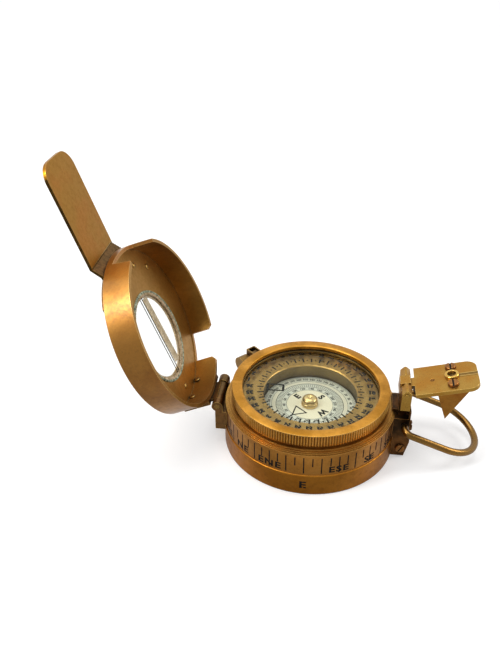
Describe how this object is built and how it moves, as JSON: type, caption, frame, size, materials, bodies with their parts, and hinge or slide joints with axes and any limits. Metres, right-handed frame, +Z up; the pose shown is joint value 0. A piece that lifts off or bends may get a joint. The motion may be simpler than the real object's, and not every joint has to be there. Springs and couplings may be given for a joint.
{
  "type": "magnetic compass",
  "caption": "Brass marching compass with a hinged sighting lid, turning bezel, floating card, folding prism on a slide, thumb ring and bezel clamp.",
  "frame": {"origin": "centre of the base's underside, on the surface that the compass stands on", "axes": "+Z up, +X from the lid's hinge towards the prism, +Y to the side of the clamp"},
  "size_m": [0.1461, 0.062, 0.1034],
  "materials": {
    "case_brass": "satin, worn to bright edges",
    "bezel_brass": "satin, knurled edge",
    "lid_brass": "satin, spotted with patina",
    "prism_brass": "satin",
    "dark_brass": "dark patina",
    "rivet_brass": "dark satin",
    "copper_screws": "copper brown, satin",
    "ring_brass": "satin",
    "eyepiece_brass": "polished",
    "dial_brass": "dull tan grey",
    "bowl_brass": "dull",
    "verdigris": "green patina",
    "cap_brass": "polished",
    "strip_metal": "dull",
    "card_white": "printed, matt",
    "magnet_steel": "plain",
    "jewel": "polished",
    "clear_glass": "clear"
  },
  "bodies": {
    "case": {"base_cap": "case_brass", "case_barrel": "case_brass", "compass_bowl": "bowl_brass", "dial_flange": "dial_brass", "pivot_post": "magnet_steel", "bezel_snap_ring": "bowl_brass", "case_hinge_leaf": "dark_brass", "case_hinge_rivets": "rivet_brass", "lid_hinge_pin": "dark_brass", "prism_bracket": "dark_brass", "bracket_screws": "rivet_brass", "bracket_side_screws": "copper_screws", "slide_stop_screw": "dark_brass", "clamp_bracket": "dark_brass", "clamp_shoe": "dark_brass"},
    "bezel": {"bezel_ring": "bezel_brass", "bezel_glass": "clear_glass", "glass_retainer": "bowl_brass"},
    "card": {"card_disc": "card_white", "card_cap": "cap_brass", "jewel_cup": "jewel", "card_magnets": "magnet_steel"},
    "lid": {"lid_shell": "lid_brass", "lid_glass": "clear_glass", "lid_glass_ring": "verdigris", "sight_strip": "strip_metal", "lid_tongue": "lid_brass", "tongue_rivets": "rivet_brass", "lid_hinge_leaf": "dark_brass", "lid_hinge_rivets": "rivet_brass"},
    "slide": {"prism_slide": "prism_brass", "prism_hinge_pin": "prism_brass"},
    "prism": {"prism_plate": "prism_brass", "prism_housing": "prism_brass", "prism_glass": "clear_glass", "eye_lens_ring": "eyepiece_brass", "eye_lens": "clear_glass", "prism_screws": "copper_screws"},
    "thumb_ring": {"thumb_ring": "ring_brass"},
    "clamp_screw": {"clamp_screw": "dark_brass"}
  },
  "joints": [
    {"name": "lid_hinge", "type": "hinge", "parent": "case", "child": "lid", "pos_m": [-0.03275, 0, 0.01645], "axis": [0, -1, 0], "range_deg": [-109.5, 66]},
    {"name": "bezel_turn", "type": "hinge", "parent": "case", "child": "bezel", "pos_m": [0, 0, 0.0211], "axis": [0, 0, 1], "continuous": true},
    {"name": "card_spin", "type": "hinge", "parent": "case", "child": "card", "pos_m": [0, 0, 0.015], "axis": [0, 0, 1], "continuous": true},
    {"name": "prism_slide", "type": "slide", "parent": "case", "child": "slide", "axis": [0, 0, 1], "range_m": [-0.0032, 0]},
    {"name": "prism_fold", "type": "hinge", "parent": "slide", "child": "prism", "pos_m": [0.03315, 0, 0.0271], "axis": [0, -1, 0], "range_deg": [-15.2, 164.8]},
    {"name": "ring_swing", "type": "hinge", "parent": "case", "child": "thumb_ring", "pos_m": [0.0338, 0, 0.014], "axis": [0, -1, 0], "range_deg": [-69, 53]},
    {"name": "clamp_turn", "type": "hinge", "parent": "case", "child": "clamp_screw", "pos_m": [-0.02431, 0.02348, 0.0158], "axis": [-0.6947, -0.7193, 0], "continuous": true}
  ]
}
